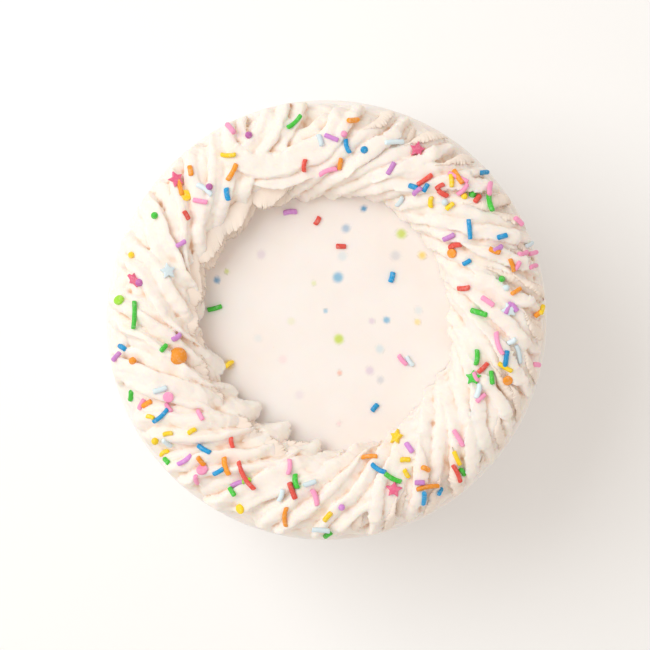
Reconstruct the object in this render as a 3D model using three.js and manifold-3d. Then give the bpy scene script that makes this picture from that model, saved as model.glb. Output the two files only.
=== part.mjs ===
// A round confetti cake, iced smooth, with a rope of buttercream piped round the rim of its top and
// sugar sprinkles strewn over both. Millimetres, +Z up. The origin is the centre of the flat underside,
// and +Y is the side that a viewer looking straight down sees at the top.
import * as THREE from "three";
import { mergeVertices } from "three/addons/utils/BufferGeometryUtils.js";
import Module from "manifold-3d";

const wasm = await Module();
wasm.setup();

const radians = THREE.MathUtils.degToRad;
const fullTurn = 360;
const weldDistance = 1e-4; // corners closer than this are one corner
const seeds = { turns: 2027, sprinkles: 611 };

// ---- driving dimensions ----
const cake = {
  diameter: 150, // a six inch cake with its icing
  height: 84, // from the underside to the smooth top
  topEdge: 3, // radius of the soft upper edge
  footEdge: 1.2, // radius where the icing meets the table
  flats: 72, // round the side
  footArcs: 2, // facets round the lower edge
  topArcs: 4, // facets round the upper edge
};

const rope = {
  turns: 26, // overlapping turns of piping in the ring
  firstFoot: 104, // degrees, where the piping begins; it runs anticlockwise
  lastFoot: 444, // degrees, where the closing curl begins, nearly a full turn later
  widestAt: 170, // degrees, where the turns are laid furthest apart
  widening: 0.2, // share by which they are further apart there, and closer on the other side
  ringRadius: 58, // middle of the ring
  reach: 9.4, // how far a turn swings out and in from the middle
  rise: 8, // how far a turn climbs above its feet
  footHeight: 3.4, // height of the cord's centre at its outermost and innermost points
  advance: 39, // how far a turn travels along the ring
  lag: 0.82, // the travel along the ring comes late,
  bend: 1.3, // so that a turn starts straight inwards and ends running along the inner edge
  bendChange: 0.2, // a turn bends later where the turns are further apart
  sweepFrom: -56, // degrees round the arch; 0 is outermost, 90 the top and 180 innermost
  sweepTo: 214,
  halfWidth: 8.6, // of the cord, across
  halfThickness: 6.4, // of the cord, from the ring's core to its skin
  ridges: 7, // points of the star tip
  ridgeDepth: 2.9,
  lean: 25, // degrees, so that each turn lies on the one before
  rollRange: 24, // degrees by which the tip's ridges turn from one turn to the next
  steps: 9, // sections along a turn
};

// The closing curl ends on top, swept in along the inner edge and out again over the first turn.
const curl = {
  sweepTo: 318,
  lag: 0.55,
  bend: 1,
  advance: 36,
  reach: 6.4,
  rise: 9,
  shift: 2.4,
  roll: 0,
  steps: 13,
};
const join = { angle: 118, width: 24, shift: 3 }; // the turns beside the curl sit further out

const ringCore = { outwards: 15.2, inwards: 12, rise: 11, flats: 48, arcs: 5 }; // cream under the turns
const seatGap = 0.3; // between the smooth top and the piping
const rimMargin = { cream: 1.4, sprinkles: 0.5 }; // both stay this far inside the cake's edge

const sprinkle = {
  rod: { radius: 0.85, shortest: 3.4, longest: 6.8, sides: 5 },
  disc: { radius: 1.8, thickness: 1.2, sides: 8 },
  ball: { radius: 1.2, detail: 0 },
  pearl: { radius: 3, detail: 1 },
  star: { radius: 2.9, waist: 0.5, thickness: 1.4, points: 5 },
  sunk: 0.3, // share of the thickness pressed into the cream
  margin: 1, // past a small sprinkle's half thickness, where its lie is measured
  steepest: 1.1, // slope of the steepest lie
};

// The largest sprinkles on the piping, one by one: degrees round the ring and millimetres from its
// middle, and for a rod its heading and length.
const largest = [
  { kind: "pearl", angle: 193.7, radius: 51.3 },
  { kind: "star", angle: 62, radius: 64.3 },
  { kind: "star", angle: 137, radius: 68.7 },
  { kind: "star", angle: 163, radius: 55.3 },
  { kind: "star", angle: 168, radius: 65.5 },
  { kind: "star", angle: 291.7, radius: 60.7 },
  { kind: "star", angle: 301, radius: 45.6 },
  { kind: "star", angle: 338.5, radius: 52.5 },
  { kind: "star", angle: 3, radius: 60.7 },
  { kind: "disc", angle: 28, radius: 47.5 },
  { kind: "disc", angle: 138.5, radius: 62.6 },
  { kind: "disc", angle: 174.6, radius: 69.6 },
  { kind: "disc", angle: 206, radius: 58.5 },
  { kind: "disc", angle: 230.4, radius: 64.9 },
  { kind: "disc", angle: 245.5, radius: 69.3 },
  { kind: "disc", angle: 341.6, radius: 63.5 },
  { kind: "rod", angle: 32.4, radius: 56.2, heading: 95, length: 6.8 },
  { kind: "rod", angle: 47.2, radius: 64.4, heading: 155, length: 7.4 },
  { kind: "rod", angle: 69.2, radius: 63.2, heading: 5, length: 7.1 },
  { kind: "rod", angle: 99.4, radius: 67.1, heading: 45, length: 6.8 },
  { kind: "rod", angle: 178.5, radius: 64, heading: 88, length: 9.5 },
  { kind: "rod", angle: 242.8, radius: 58.1, heading: 120, length: 11 },
  { kind: "rod", angle: 258.5, radius: 66.9, heading: 87, length: 6.8 },
  { kind: "rod", angle: 301.1, radius: 65.1, heading: 8, length: 8.1 },
  { kind: "rod", angle: 310.4, radius: 67, heading: 115, length: 6.8 },
  { kind: "rod", angle: 352.3, radius: 58.1, heading: 105, length: 8.1 },
];

// Handfuls of rods dropped on the piping, where they lie thickest.
const handfuls = [
  { angle: 8, radius: 60, rods: 2 },
  { angle: 22, radius: 64, rods: 3 },
  { angle: 38, radius: 62, rods: 2 },
  { angle: 48, radius: 59, rods: 4 },
  { angle: 86, radius: 57, rods: 3 },
  { angle: 118, radius: 62, rods: 2 },
  { angle: 137, radius: 62, rods: 3 },
  { angle: 188, radius: 63, rods: 1 },
  { angle: 206, radius: 64, rods: 3 },
  { angle: 222, radius: 64, rods: 4 },
  { angle: 238, radius: 60, rods: 2 },
  { angle: 262, radius: 59, rods: 2 },
  { angle: 299, radius: 57, rods: 3 },
  { angle: 313, radius: 63, rods: 1 },
  { angle: 344, radius: 58, rods: 3 },
];
const spread = { along: 14, across: 13 }; // degrees and millimetres over which a handful scatters

// The small balls on the piping.
const balls = [
  { kind: "ball", angle: 13.1, radius: 59.8, heading: 0 },
  { kind: "ball", angle: 77.3, radius: 57.8, heading: 0 },
  { kind: "ball", angle: 112.9, radius: 66.4, heading: 0 },
  { kind: "ball", angle: 148.6, radius: 66.7, heading: 0 },
  { kind: "ball", angle: 192.1, radius: 66.2, heading: 0 },
  { kind: "ball", angle: 274.5, radius: 62.4, heading: 0 },
];

// The rods on the smooth top.
const onTop = [
  { kind: "rod", angle: 108.7, radius: 38.5, heading: 5, length: 4.7 },
  { kind: "rod", angle: 95.4, radius: 33.9, heading: 60, length: 3.2 },
  { kind: "rod", angle: 78.9, radius: 25.5, heading: 178, length: 3.4 },
  { kind: "rod", angle: 33.3, radius: 26.5, heading: 75, length: 3.7 },
  { kind: "rod", angle: 298.9, radius: 34, heading: 50, length: 3.2 },
  { kind: "rod", angle: 332.4, radius: 29.2, heading: 130, length: 4.4 },
  { kind: "rod", angle: 333.8, radius: 31.6, heading: 125, length: 4 },
];

// Repeatable draws between 0 and 1.
function makeDraw(seed) {
  const factor = 16807;
  const modulus = 2147483647;
  let state = seed;
  return () => {
    state = (state * factor) % modulus;
    return state / modulus;
  };
}

// ---- solids ----
function toSolid(geometry) {
  const bare = geometry.clone();
  bare.deleteAttribute("normal");
  bare.deleteAttribute("uv");
  const merged = mergeVertices(bare, weldDistance);
  return new wasm.Manifold(
    new wasm.Mesh({
      numProp: 3,
      vertProperties: new Float32Array(merged.attributes.position.array),
      triVerts: new Uint32Array(merged.index.array),
    }),
  );
}

function toGeometry(solid) {
  const mesh = solid.getMesh();
  const geometry = new THREE.BufferGeometry();
  geometry.setAttribute("position", new THREE.BufferAttribute(mesh.vertProperties.slice(), 3));
  geometry.setIndex(new THREE.BufferAttribute(mesh.triVerts.slice(), 1));
  return geometry;
}

// A ring or disc turned round the Z axis from a profile of radius and height.
function turned(profile, flats) {
  const geometry = new THREE.LatheGeometry(profile, flats);
  geometry.rotateX(Math.PI / 2);
  return toSolid(geometry);
}

// The outer skin of the largest body, so that no sealed hollow or loose scrap is left.
function outerBody(solid) {
  return solid.decompose().reduce((best, body) => (body.volume() > best.volume() ? body : best));
}

function arcPoints(centre, radii, from, to, count) {
  return Array.from({ length: count + 1 }, (_, k) => {
    const angle = radians(from + ((to - from) * k) / count);
    return new THREE.Vector2(centre.x + radii.x * Math.cos(angle), centre.y + radii.y * Math.sin(angle));
  });
}

// ---- iced cake ----
function icedCake() {
  const outer = cake.diameter / 2;
  const foot = new THREE.Vector2(outer - cake.footEdge, cake.footEdge);
  const shoulder = new THREE.Vector2(outer - cake.topEdge, cake.height - cake.topEdge);
  const footRadii = new THREE.Vector2(cake.footEdge, cake.footEdge);
  const topRadii = new THREE.Vector2(cake.topEdge, cake.topEdge);
  const profile = [
    new THREE.Vector2(0, 0),
    ...arcPoints(foot, footRadii, -90, 0, cake.footArcs),
    ...arcPoints(shoulder, topRadii, 0, 90, cake.topArcs),
    new THREE.Vector2(0, cake.height),
  ];
  return turned(profile, cake.flats);
}

// ---- piped rope ----
// The star tip's outline: ridges with flutes between them, wider than it is thick.
function starSection(roll) {
  const lean = radians(rope.lean);
  const corners = Array.from({ length: rope.ridges * 2 }, (_, k) => {
    const angle = (Math.PI * k) / rope.ridges + radians(roll);
    const shrink = k % 2 ? 1 - rope.ridgeDepth / rope.halfWidth : 1;
    const across = Math.sin(angle) * rope.halfWidth * shrink;
    const up = Math.cos(angle) * rope.halfThickness * shrink;
    return new THREE.Vector2(
      up * Math.cos(lean) - across * Math.sin(lean),
      up * Math.sin(lean) + across * Math.cos(lean),
    );
  });
  return new THREE.Shape(corners);
}

// One turn of the rope, from its outer foot over the top to its inner foot. A closing curl stays up.
class RopeTurn extends THREE.Curve {
  constructor(turn) {
    super();
    this.turn = turn;
  }

  arch(t) {
    return radians(rope.sweepFrom + (this.turn.sweepTo - rope.sweepFrom) * t);
  }

  // The arch as seen from the side, which for a closing curl ends at the top.
  climb(t) {
    const arch = this.arch(t);
    return this.turn.staysUp ? Math.min(arch, Math.PI / 2) : arch;
  }

  ringAngle(t) {
    const share = ((1 - Math.cos(this.turn.lag * this.arch(t))) / 2) ** this.turn.bend;
    return radians(this.turn.foot) + (this.turn.advance * share) / rope.ringRadius;
  }

  getPoint(t, target = new THREE.Vector3()) {
    const ring = this.ringAngle(t);
    const radius = rope.ringRadius + this.turn.shift + this.turn.reach * Math.cos(this.arch(t));
    const height = cake.height + rope.footHeight + this.turn.rise * Math.sin(this.climb(t));
    return target.set(radius * Math.cos(ring), radius * Math.sin(ring), height);
  }

  // The first axis of the section always points away from the middle of the ring's core.
  computeFrenetFrames(steps) {
    const frames = { tangents: [], normals: [], binormals: [] };
    for (let k = 0; k <= steps; k += 1) {
      const t = k / steps;
      const tangent = this.getTangent(t);
      const outward = Math.cos(this.climb(t)) / rope.reach;
      const upward = Math.sin(this.climb(t)) / rope.rise;
      const ring = this.ringAngle(t);
      const normal = new THREE.Vector3(outward * Math.cos(ring), outward * Math.sin(ring), upward);
      normal.addScaledVector(tangent, -normal.dot(tangent)).normalize();
      frames.tangents.push(tangent);
      frames.normals.push(normal);
      frames.binormals.push(new THREE.Vector3().crossVectors(tangent, normal));
    }
    return frames;
  }

  getPointAt(t, target) {
    return this.getPoint(t, target);
  }

  getSpacedPoints(count) {
    return Array.from({ length: count + 1 }, (_, k) => this.getPoint(k / count));
  }
}

// The outer feet of the turns, further apart on one side of the ring than on the other.
function turnFeet() {
  const gaps = Array.from({ length: rope.turns }, (_, k) => {
    const about = rope.firstFoot + ((rope.lastFoot - rope.firstFoot) * k) / rope.turns;
    return 1 + rope.widening * Math.cos(radians(about - rope.widestAt));
  });
  const total = gaps.reduce((sum, gap) => sum + gap, 0);
  let foot = rope.firstFoot;
  return gaps.map((gap) => {
    const here = foot;
    foot += ((rope.lastFoot - rope.firstFoot) * gap) / total;
    return here;
  });
}

function joinShift(foot) {
  const away = (((foot - join.angle + fullTurn / 2) % fullTurn) - fullTurn / 2) / join.width;
  return join.shift * Math.exp(-away * away);
}

function ropeTurns() {
  const draw = makeDraw(seeds.turns);
  const vary = (share) => 1 + share * (2 * draw() - 1);
  const ordinary = turnFeet().map((foot) => ({
    foot: foot + 2 * (2 * draw() - 1),
    advance: rope.advance * vary(0.12),
    reach: rope.reach * vary(0.07),
    rise: rope.rise * vary(0.07),
    shift: 2 * draw() - 1 + joinShift(foot),
    roll: rope.rollRange * (draw() - 0.5),
    lag: rope.lag,
    bend: rope.bend + rope.bendChange * Math.cos(radians(foot - rope.widestAt)),
    sweepTo: rope.sweepTo,
    steps: rope.steps,
    staysUp: false,
  }));
  const closing = { foot: rope.lastFoot, staysUp: true, ...curl };
  return [...ordinary, closing];
}

function turnSolid(turn) {
  const extrudePath = new RopeTurn(turn);
  return toSolid(new THREE.ExtrudeGeometry(starSection(turn.roll), { steps: turn.steps, extrudePath }));
}

function ringCoreSolid() {
  const middle = new THREE.Vector2(rope.ringRadius, cake.height + seatGap);
  const outerRadii = new THREE.Vector2(ringCore.outwards, ringCore.rise);
  const innerRadii = new THREE.Vector2(ringCore.inwards, ringCore.rise);
  const profile = [
    ...arcPoints(middle, outerRadii, 0, 90, ringCore.arcs),
    ...arcPoints(middle, innerRadii, 90, 180, ringCore.arcs).slice(1),
  ];
  profile.push(profile[0].clone());
  return turned(profile, ringCore.flats);
}

// The room that the piping may fill: above the smooth top and inside the cake's edge.
function roomAboveTop(margin) {
  const radius = cake.diameter / 2 - margin;
  const depth = 2 * (rope.footHeight + rope.rise + rope.halfWidth);
  const disc = new THREE.CylinderGeometry(radius, radius, depth, cake.flats);
  disc.rotateX(Math.PI / 2);
  disc.translate(0, 0, cake.height + seatGap + depth / 2);
  return toSolid(disc);
}

function bareRope() {
  const joined = wasm.Manifold.union([ringCoreSolid(), ...ropeTurns().map(turnSolid)]);
  return outerBody(joined.intersect(roomAboveTop(rimMargin.cream)));
}

// ---- sprinkles ----
function prism(outline, depth) {
  return new THREE.ExtrudeGeometry(outline, { depth, bevelEnabled: false }).translate(0, 0, -depth / 2);
}

function roundOutline({ radius, sides }) {
  const corners = Array.from({ length: sides }, (_, k) => {
    const angle = (2 * Math.PI * k) / sides;
    return new THREE.Vector2(radius * Math.cos(angle), radius * Math.sin(angle));
  });
  return new THREE.Shape(corners);
}

function starOutline({ radius, waist, points }) {
  const corners = Array.from({ length: points * 2 }, (_, k) => {
    const angle = (Math.PI * k) / points;
    const reach = k % 2 ? radius * waist : radius;
    return new THREE.Vector2(reach * Math.cos(angle), reach * Math.sin(angle));
  });
  return new THREE.Shape(corners);
}

// Each kind lies flat with its middle at the origin; a rod runs along X.
const makeKind = {
  rod: (length) => prism(roundOutline(sprinkle.rod), length).rotateY(Math.PI / 2),
  disc: () => prism(roundOutline(sprinkle.disc), sprinkle.disc.thickness),
  ball: () => new THREE.IcosahedronGeometry(sprinkle.ball.radius, sprinkle.ball.detail),
  pearl: () => new THREE.IcosahedronGeometry(sprinkle.pearl.radius, sprinkle.pearl.detail),
  star: () => prism(starOutline(sprinkle.star), sprinkle.star.thickness),
};

const halfThick = {
  rod: sprinkle.rod.radius,
  disc: sprinkle.disc.thickness / 2,
  ball: sprinkle.ball.radius,
  pearl: sprinkle.pearl.radius,
  star: sprinkle.star.thickness / 2,
};

// Looks straight down on a solid and tells the height of its surface.
function heightFinder(solid) {
  const mesh = new THREE.Mesh(toGeometry(solid), new THREE.MeshBasicMaterial({ side: THREE.DoubleSide }));
  const from = cake.height * 2;
  const down = new THREE.Vector3(0, 0, -1);
  return (x, y) => {
    const hit = new THREE.Raycaster(new THREE.Vector3(x, y, from), down).intersectObject(mesh)[0];
    return hit ? hit.point.z : cake.height;
  };
}

// Lays one sprinkle on the surface, tilted to the slope between the points where it touches.
function laidSprinkle(spot, heightAt) {
  const x = spot.radius * Math.cos(radians(spot.angle));
  const y = spot.radius * Math.sin(radians(spot.angle));
  const heading = radians(spot.heading);
  const grip = spot.kind === "rod" ? spot.length / 2 : halfThick[spot.kind] + sprinkle.margin;
  const slopeAlong = (turn) => {
    const dx = grip * Math.cos(heading + turn);
    const dy = grip * Math.sin(heading + turn);
    const slope = (heightAt(x + dx, y + dy) - heightAt(x - dx, y - dy)) / (2 * grip);
    return THREE.MathUtils.clamp(slope, -sprinkle.steepest, sprinkle.steepest);
  };
  const along = new THREE.Vector3(Math.cos(heading), Math.sin(heading), slopeAlong(0)).normalize();
  const aside = new THREE.Vector3(-Math.sin(heading), Math.cos(heading), slopeAlong(Math.PI / 2));
  const up = new THREE.Vector3().crossVectors(along, aside).normalize();
  const side = new THREE.Vector3().crossVectors(up, along);
  const middle = new THREE.Vector3(x, y, heightAt(x, y));
  middle.addScaledVector(up, halfThick[spot.kind] * (1 - 2 * sprinkle.sunk));
  const pose = new THREE.Matrix4().makeBasis(along, side, up).setPosition(middle);
  return toSolid(makeKind[spot.kind](spot.length).applyMatrix4(pose));
}

function rodLength(draw) {
  const { shortest, longest } = sprinkle.rod;
  return shortest + (longest - shortest) * draw() ** 1.5;
}

function ropeSpots() {
  const draw = makeDraw(seeds.sprinkles);
  const single = largest.map((one) => ({ heading: fullTurn * draw(), ...one }));
  const rods = handfuls.flatMap(({ angle, radius, rods: count }) =>
    Array.from({ length: count }, () => ({
      kind: "rod",
      angle: angle + spread.along * (draw() - 0.5),
      radius: radius + spread.across * (draw() - 0.5),
      heading: fullTurn * draw(),
      length: rodLength(draw),
    })),
  );
  return [...single, ...rods, ...balls];
}

function strewn(solid, spots) {
  const heightAt = heightFinder(solid);
  return wasm.Manifold.union([solid, ...spots.map((spot) => laidSprinkle(spot, heightAt))]);
}

const cream = new THREE.MeshStandardMaterial({ color: 0xfbeee2, roughness: 0.6, metalness: 0 });
const smoothCream = new THREE.MeshStandardMaterial({ color: 0xfaede1, roughness: 0.45, metalness: 0 });

function named(name, solid, material) {
  const mesh = new THREE.Mesh(toGeometry(solid), material);
  mesh.name = name;
  return mesh;
}

const cakeWithRods = outerBody(strewn(icedCake(), onTop));
const room = roomAboveTop(rimMargin.sprinkles);
const ropeWithSprinkles = outerBody(strewn(bareRope(), ropeSpots()).intersect(room));

const confettiCake = new THREE.Group();
confettiCake.add(named("iced_cake", cakeWithRods, smoothCream));
confettiCake.add(named("piped_rope", ropeWithSprinkles, cream));
export default confettiCake;
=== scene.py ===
import math

import bmesh
import bpy
import numpy as np
from mathutils import Matrix, Vector, noise
from mathutils.bvhtree import BVHTree


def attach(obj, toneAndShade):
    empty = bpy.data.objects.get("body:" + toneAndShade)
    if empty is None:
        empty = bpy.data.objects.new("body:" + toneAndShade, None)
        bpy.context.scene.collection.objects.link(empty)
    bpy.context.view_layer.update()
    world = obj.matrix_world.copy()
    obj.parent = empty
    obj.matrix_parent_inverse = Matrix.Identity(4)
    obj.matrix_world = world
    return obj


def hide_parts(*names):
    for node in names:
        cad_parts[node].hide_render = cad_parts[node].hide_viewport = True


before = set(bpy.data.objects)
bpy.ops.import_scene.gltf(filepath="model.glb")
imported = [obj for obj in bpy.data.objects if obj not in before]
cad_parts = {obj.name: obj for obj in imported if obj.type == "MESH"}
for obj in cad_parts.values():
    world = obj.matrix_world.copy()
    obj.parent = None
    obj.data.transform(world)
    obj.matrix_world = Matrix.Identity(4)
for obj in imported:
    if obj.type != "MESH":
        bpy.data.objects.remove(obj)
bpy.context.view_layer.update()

mm = 0.001  # everything below is in millimetres until it goes into a mesh


def makeDraw(seed):  # repeatable draws between 0 and 1
    factor, modulus = 16807, 2147483647
    state = seed
    while True:
        state = state * factor % modulus
        yield state / modulus


def varied(draw, least, more):
    return least + more * next(draw)


def linear(red, green, blue):  # from screen colour, 0 to 255, to the shader's linear colour
    def one(value):
        value /= 255
        return value / 12.92 if value <= 0.04045 else ((value + 0.055) / 1.055) ** 2.4
    return (one(red), one(green), one(blue), 1)


def smoothStep(low, high, value):
    share = np.clip((value - low) / (high - low), 0, 1)
    return share * share * (3 - 2 * share)


def newObject(name, mesh):
    piece = bpy.data.objects.new(name, mesh)
    bpy.context.scene.collection.objects.link(piece)
    return piece


def meshFrom(bm, name):
    mesh = bpy.data.meshes.new(name)
    bm.to_mesh(mesh)
    bm.free()
    return mesh


def readVectors(mesh, name):
    flat = np.empty(len(mesh.vertices) * 3, dtype=np.float32)
    mesh.vertices.foreach_get(name, flat)
    return flat.reshape(-1, 3).astype(np.float64)


def points(mesh):
    return readVectors(mesh, "co")


def normals(mesh):
    return readVectors(mesh, "normal")


def movePoints(mesh, places):
    mesh.vertices.foreach_set("co", places.astype(np.float32).ravel())
    mesh.update()


def smoothShade(mesh):
    mesh.polygons.foreach_set("use_smooth", [True] * len(mesh.polygons))
    mesh.update()


def applied(piece, kind, **settings):  # the piece's mesh with a modifier baked in
    modifier = piece.modifiers.new(kind.title(), kind)
    for key, value in settings.items():
        setattr(modifier, key, value)
    bpy.context.view_layer.update()
    baked = bpy.data.meshes.new_from_object(piece.evaluated_get(bpy.context.evaluated_depsgraph_get()))
    piece.modifiers.clear()
    old = piece.data
    piece.data = baked
    bpy.data.meshes.remove(old)
    return baked


class Wire:  # a socket that takes part in Python sums
    def __init__(self, tree, socket):
        self.tree = tree
        self.socket = socket

    def math(self, operation, *others):
        made = self.tree.nodes.new("ShaderNodeMath")
        made.operation = operation
        for place, value in zip(made.inputs, others):
            if isinstance(value, Wire):
                self.tree.links.new(value.socket, place)
            else:
                place.default_value = value
        return Wire(self.tree, made.outputs[0])

    def __add__(self, other):
        return self.math("ADD", self, other)

    def __radd__(self, other):
        return self.math("ADD", other, self)

    def __sub__(self, other):
        return self.math("SUBTRACT", self, other)

    def __mul__(self, other):
        return self.math("MULTIPLY", self, other)

    def __rmul__(self, other):
        return self.math("MULTIPLY", other, self)

    def between(self, low, high):  # 0 below low, 1 above high, clamped
        made = self.tree.nodes.new("ShaderNodeMapRange")
        made.interpolation_type = "SMOOTHSTEP"
        made.inputs["From Min"].default_value = low
        made.inputs["From Max"].default_value = high
        self.tree.links.new(self.socket, made.inputs["Value"])
        return Wire(self.tree, made.outputs[0])


class Finish:  # one material, with a Principled shader
    def __init__(self, name, **fixed):
        self.material = bpy.data.materials.new(name)
        self.material.use_nodes = True
        self.tree = self.material.node_tree
        self.shader = self.tree.nodes["Principled BSDF"]
        for key, value in fixed.items():
            self.shader.inputs[key.replace("_", " ")].default_value = value

    def add(self, kind, settings=None, inputs=None, output=0):
        made = self.tree.nodes.new(kind)
        for key, value in (settings or {}).items():
            setattr(made, key, value)
        for key, value in (inputs or {}).items():
            self.feed(made.inputs[key], value)
        return Wire(self.tree, made.outputs[output])

    def feed(self, place, value):
        if isinstance(value, Wire):
            self.tree.links.new(value.socket, place)
        else:
            place.default_value = value

    def set(self, name, value):
        self.feed(self.shader.inputs[name], value)

    def grain(self, size, detail, roughness=0.5):  # noise with features of a size in mm
        place = self.add("ShaderNodeTexCoord", output="Object")
        inputs = {"Vector": place, "Scale": 1 / (size * mm), "Detail": detail, "Roughness": roughness}
        return self.add("ShaderNodeTexNoise", inputs=inputs)

    def mix(self, factor, first, second):
        return self.add("ShaderNodeMix", {"data_type": "RGBA"}, {0: factor, 6: first, 7: second}, output=2)

    def attribute(self, name, output="Fac"):
        return self.add("ShaderNodeAttribute", {"attribute_name": name}, output=output)

    def bump(self, height, distance, strength):
        inputs = {"Height": height, "Distance": distance * mm, "Strength": strength}
        return self.add("ShaderNodeBump", inputs=inputs)

    def surface(self, kind):  # roughness and relief from a fine and a coarse grain
        fine, coarse = self.grain(*kind["fineGrain"]), self.grain(*kind["coarseGrain"])
        least, more = kind["roughness"]
        self.set("Roughness", least + more * fine)
        relief = fine * kind["fineShare"] + coarse * (1 - kind["fineShare"])
        self.set("Normal", self.bump(relief, *kind["relief"]))


rope = {
    "seed": 2027,
    "seat": 84.3,  # height at which the piping sits on the cake
    "cakeTop": 84.0,
    "turns": 26,
    "firstFoot": 104.0,  # degrees, where the piping begins; it runs anticlockwise
    "lastFoot": 444.0,
    "footVaries": 2.0,
    "widestAt": 170.0,  # degrees, where the turns are laid furthest apart
    "widening": 0.2,
    "leftmost": 185.0,  # degrees, in the middle of the turns on the left
    "ringRadius": 58.0,
    "reach": 9.4,  # how far a turn swings out and in from the middle of the ring
    "rise": 8.0,
    "swingVaries": 0.07,  # share of the reach and of the rise
    "footHeight": 3.4,
    "advance": 39.0,  # how far a turn travels along the ring
    "advanceVaries": 0.12,
    "lag": 0.82,
    "bend": 1.3,
    "bendChange": 0.2,  # a turn bends later where the turns are further apart
    "sweepFrom": -56.0,
    "sweepTo": 214.0,
    "cordLength": 52.0,  # of one turn
    "halfWidth": 8.6,
    "halfThickness": 6.4,
    "lean": 25.0,
    "rollRange": 24.0,
    "ridges": 7,
    "steps": 120,  # sections along a turn
    "around": 112,  # points round the cord
    "coreOutwards": 15.2,
    "coreInwards": 12.0,
    "coreRise": 11.0,
    "coreSteps": (48, 360),  # over the ring and round it
    "mound": (105, 65, 91),  # degrees, radius and height of the loose cream outside the closing curl
    "moundSize": (10, 7, 10),
    "kneading": 0.55,  # how far the whole rope is pushed out of true
    "kneadWaves": ((1, 13, 0), (0.45, 5, 1)),  # share, size and what is added to the seed
    "kneadSeeds": (11, 23, 37),
    "voxel": 0.38,
    "lumps": ((0.13, 4.2, 51), (0.09, 1.9, 67), (0.05, 1.1, 83)),  # height, size and seed
    "outermost": 73.6,
    "fadingTo": 80.0,  # what would reach so far out is drawn in further
    "drawnIn": 0.4,
    "eased": 98.5,  # above this height the ridges are pressed down a little
    "pressing": 0.4,
    "topmost": 103.4,
    "trianglesAtMost": 190000,
}
curl = {  # what differs in the closing turn
    "sweepTo": 318.0,
    "lag": 0.55,
    "bend": 1.0,
    "advance": 36.0,
    "reach": 6.4,
    "rise": 9.0,
    "shift": 2.4,
    "roll": 0.0,
}
join = {"angle": 118.0, "width": 24.0, "shift": 3.0}  # the turns beside the closing one lie further out


def turnFeet():
    span = rope["lastFoot"] - rope["firstFoot"]
    gaps = []
    for k in range(rope["turns"]):
        about = rope["firstFoot"] + span * k / rope["turns"]
        gaps.append(1 + rope["widening"] * math.cos(math.radians(about - rope["widestAt"])))
    feet, foot = [], rope["firstFoot"]
    for gap in gaps:
        feet.append(foot)
        foot += span * gap / sum(gaps)
    return feet


def joinShift(foot):
    away = (math.fmod(foot - join["angle"] + 180, 360) - 180) / join["width"]
    return join["shift"] * math.exp(-away * away)


def ropeTurns():
    draw = makeDraw(rope["seed"])

    def either():
        return 2 * next(draw) - 1

    turns = []
    for foot in turnFeet():
        turn = {"staysUp": False, "lag": rope["lag"], "sweepTo": rope["sweepTo"]}
        turn["foot"] = foot + rope["footVaries"] * either()
        turn["bend"] = rope["bend"] + rope["bendChange"] * math.cos(math.radians(foot - rope["widestAt"]))
        turn["advance"] = rope["advance"] * (1 + rope["advanceVaries"] * either())
        turn["reach"] = rope["reach"] * (1 + rope["swingVaries"] * either())
        turn["rise"] = rope["rise"] * (1 + rope["swingVaries"] * either())
        turn["shift"] = either() + joinShift(foot)
        turn["roll"] = rope["rollRange"] * (next(draw) - 0.5)
        turns.append(turn)
    turns.append({"foot": rope["lastFoot"], "staysUp": True, **curl})
    return turns


def cordMiddle(turn, share):  # the cord's centre line, share running from 0 to 1 along the turn
    arch = np.radians(rope["sweepFrom"] + (turn["sweepTo"] - rope["sweepFrom"]) * share)
    climb = np.minimum(arch, math.pi / 2) if turn["staysUp"] else arch
    travel = ((1 - np.cos(turn["lag"] * arch)) / 2) ** turn["bend"]
    ring = math.radians(turn["foot"]) + turn["advance"] * travel / rope["ringRadius"]
    radius = rope["ringRadius"] + turn["shift"] + turn["reach"] * np.cos(arch)
    height = rope["cakeTop"] + rope["footHeight"] + turn["rise"] * np.sin(climb)
    middle = np.stack([radius * np.cos(ring), radius * np.sin(ring), height], axis=-1)
    outward = np.cos(climb) / rope["reach"]
    upward = np.sin(climb) / rope["rise"]
    away = np.stack([outward * np.cos(ring), outward * np.sin(ring), upward], axis=-1)
    return middle, away, np.degrees(arch)


def unit(vectors):
    return vectors / np.linalg.norm(vectors, axis=-1, keepdims=True)


def wavy(values, phase, *rates):  # a smooth uneven wave between about -1 and 1
    apart = 1.7
    return sum(np.sin(values * rate + phase * (k + apart)) for k, rate in enumerate(rates)) / len(rates)


ripples = {"waves": 7, "rates": (0.6, 0.8), "phases": 7, "evened": 3.2}  # rates: the slowest and the spread


def ripple(places, size, seed):  # smooth uneven relief in space, between about -1 and 1
    draw = makeDraw(seed)
    total = 0
    for _ in range(ripples["waves"]):
        tilt, turned = math.acos(2 * next(draw) - 1), 2 * math.pi * next(draw)
        rate = 2 * math.pi / size * varied(draw, *ripples["rates"])
        way = np.array([math.sin(tilt) * math.cos(turned), math.sin(tilt) * math.sin(turned), math.cos(tilt)])
        total = total + np.sin(places @ way * rate + ripples["phases"] * next(draw))
    return total / ripples["evened"]


def mixed(first, second, share):
    return first + (second - first) * share


def sectionAxes(turn, share):
    step = 1e-4
    middle, away, arch = cordMiddle(turn, share)
    ahead = unit(cordMiddle(turn, share + step)[0] - cordMiddle(turn, share - step)[0])
    away = unit(away - ahead * np.sum(away * ahead, axis=-1, keepdims=True))
    return middle, away, np.cross(ahead, away), arch


def onSection(around, shrink):  # a point of the leaning section, along its two axes
    sideways = np.sin(around) * rope["halfWidth"] * shrink
    outwards = np.cos(around) * rope["halfThickness"] * shrink
    lean = math.radians(rope["lean"])
    return (outwards * math.cos(lean) - sideways * math.sin(lean),
            outwards * math.sin(lean) + sideways * math.cos(lean))


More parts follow.
